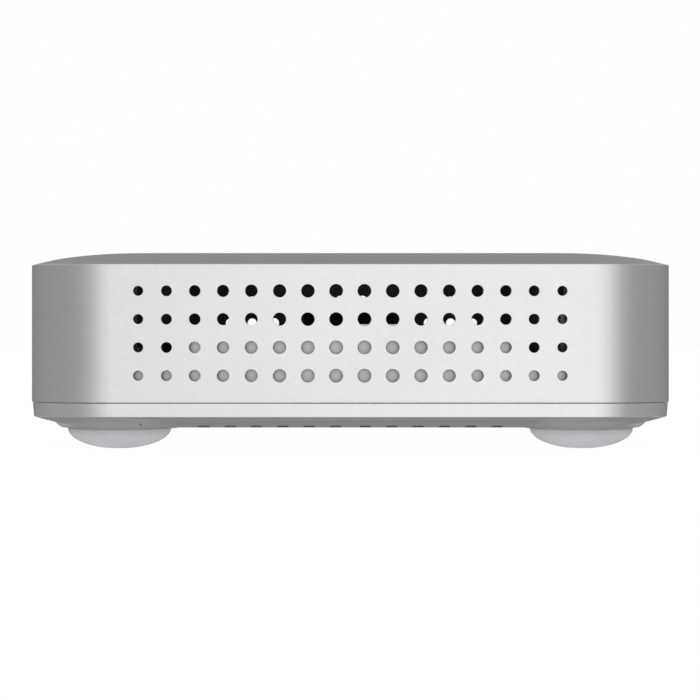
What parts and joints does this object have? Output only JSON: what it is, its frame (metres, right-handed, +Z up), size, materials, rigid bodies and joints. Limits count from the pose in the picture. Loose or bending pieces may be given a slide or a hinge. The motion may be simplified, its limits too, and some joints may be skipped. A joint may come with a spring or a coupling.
{
  "type": "mini pc",
  "caption": "Palm-sized square desktop computer: crowned aluminium cover with rows of round side vents on a sloped base tray and dome feet, with its cooler, board and cards inside.",
  "frame": {"origin": "centre of the footprint on the resting plane under the feet", "axes": "+Z up; -Y is the front with the power button; +Y is the rear with the connectors; the vented sides face -X and +X"},
  "size_m": [0.1146, 0.1146, 0.0357],
  "materials": {
    "cover_aluminium": "bead-blasted satin, clear anodised",
    "base_aluminium": "bead-blasted satin, clear anodised",
    "heatsink_aluminium": "dark anodised",
    "screw_steel": "blackened",
    "connector_steel": "nickel plated",
    "foot_rubber": "translucent grey, smooth",
    "black_plastic": "fine texture",
    "light_guide": "frosted",
    "board_laminate": "solder mask",
    "chip_package": "moulded",
    "bearing_bronze": "sintered"
  },
  "bodies": {
    "chassis": {"antenna_cable_left": "black_plastic", "antenna_cable_right": "black_plastic", "antenna_left": "board_laminate", "antenna_right": "board_laminate", "audio_jack": "black_plastic", "base_tray": "base_aluminium", "board_screw_front_left": "screw_steel", "board_screw_front_right": "screw_steel", "board_screw_rear_left": "screw_steel", "board_screw_rear_right": "screw_steel", "case_screw_front_left": "screw_steel", "case_screw_front_right": "screw_steel", "case_screw_rear_left": "screw_steel", "case_screw_rear_right": "screw_steel", "coin_cell": "connector_steel", "coin_cell_holder": "black_plastic", "cpu_package": "chip_package", "dc_jack": "black_plastic", "ethernet_port": "connector_steel", "fan_bearing": "bearing_bronze", "fan_cable": "black_plastic", "fan_connector": "black_plastic", "fan_frame": "black_plastic", "foot_front_left": "foot_rubber", "foot_front_right": "foot_rubber", "foot_rear_left": "foot_rubber", "foot_rear_right": "foot_rubber", "front_usb_c": "connector_steel", "front_usb_left": "connector_steel", "front_usb_right": "connector_steel", "hdmi_port": "connector_steel", "heatsink": "heatsink_aluminium", "heatsink_screw_front_left": "screw_steel", "heatsink_screw_front_right": "screw_steel", "heatsink_screw_rear_left": "screw_steel", "heatsink_screw_rear_right": "screw_steel", "main_board": "board_laminate", "power_button_ring": "light_guide", "power_coil_1": "chip_package", "power_coil_2": "chip_package", "power_switch": "black_plastic", "ram_module": "board_laminate", "ram_socket": "black_plastic", "rear_io_plate": "black_plastic", "rear_usb_c": "connector_steel", "rear_usb_stack": "connector_steel", "ssd_connector": "black_plastic", "ssd_module": "board_laminate", "ssd_screw": "screw_steel", "ssd_standoff": "connector_steel", "top_cover": "cover_aluminium", "wifi_card": "board_laminate", "wifi_connector": "black_plastic", "wifi_screw": "screw_steel", "wifi_standoff": "connector_steel"},
    "button": {"power_button": "cover_aluminium"},
    "fan": {"fan_rotor": "black_plastic", "fan_shaft": "connector_steel"},
    "latch_front": {"ram_latch_front": "connector_steel"},
    "latch_rear": {"ram_latch_rear": "connector_steel"}
  },
  "joints": [
    {"name": "power_button_press", "type": "slide", "parent": "chassis", "child": "button", "axis": [0, 1, 0], "range_m": [0, 0.0006], "stiffness_N_per_m": 400},
    {"name": "fan_spin", "type": "hinge", "parent": "chassis", "child": "fan", "pos_m": [0, 0.001, 0.0205], "axis": [0, 0, 1], "continuous": true},
    {"name": "ram_latch_front_pivot", "type": "hinge", "parent": "chassis", "child": "latch_front", "pos_m": [0.0184, -0.0355, 0.0087], "axis": [0, 0, -1], "range_deg": [0, 10]},
    {"name": "ram_latch_rear_pivot", "type": "hinge", "parent": "chassis", "child": "latch_rear", "pos_m": [0.0184, 0.0355, 0.0087], "axis": [0, 0, 1], "range_deg": [0, 10]}
  ]
}
